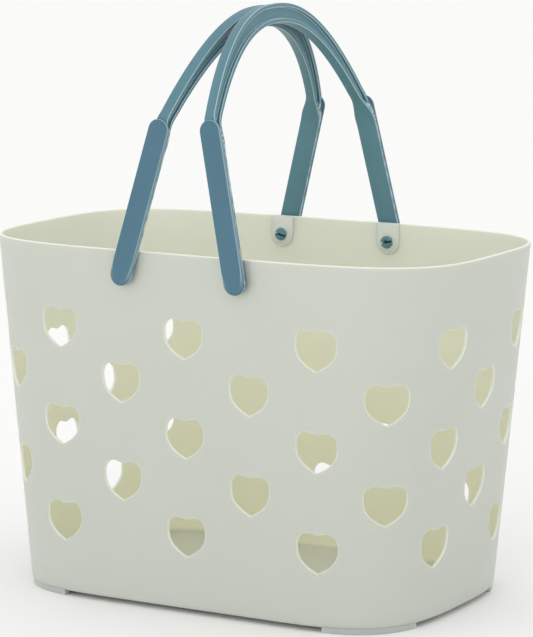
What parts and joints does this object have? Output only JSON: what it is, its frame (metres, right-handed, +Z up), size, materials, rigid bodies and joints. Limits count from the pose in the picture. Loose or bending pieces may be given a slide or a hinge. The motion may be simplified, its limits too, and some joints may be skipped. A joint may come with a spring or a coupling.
{
  "type": "shower caddy",
  "caption": "Oval open-top plastic tub with a staggered pattern of heart-shaped drain holes and two arched bail handles hinged on its long walls.",
  "frame": {"origin": "on the floor, under the middle of the tub", "axes": "+X along the long walls towards the right handle, +Y from the front long wall to the rear one, +Z up"},
  "size_m": [0.32, 0.2046, 0.3604],
  "materials": {
    "tub_plastic": "moulded, fine satin, slightly translucent",
    "handle_plastic": "moulded, satin"
  },
  "bodies": {
    "tub": {"tub": "tub_plastic"},
    "left_handle": {"left_handle_bail": "handle_plastic", "left_front_leg_cover": "handle_plastic", "left_rear_leg_cover": "handle_plastic", "left_front_pivot_stud": "handle_plastic", "left_rear_pivot_stud": "handle_plastic"},
    "right_handle": {"right_handle_bail": "handle_plastic", "right_front_leg_cover": "handle_plastic", "right_rear_leg_cover": "handle_plastic", "right_front_pivot_stud": "handle_plastic", "right_rear_pivot_stud": "handle_plastic"}
  },
  "joints": [
    {"name": "left_handle_pivot", "type": "hinge", "parent": "tub", "child": "left_handle", "pos_m": [-0.0384, 0, 0.206], "axis": [0, -1, 0], "range_deg": [0, 122]},
    {"name": "right_handle_pivot", "type": "hinge", "parent": "tub", "child": "right_handle", "pos_m": [0.0384, 0, 0.206], "axis": [0, 1, 0], "range_deg": [0, 120]}
  ]
}
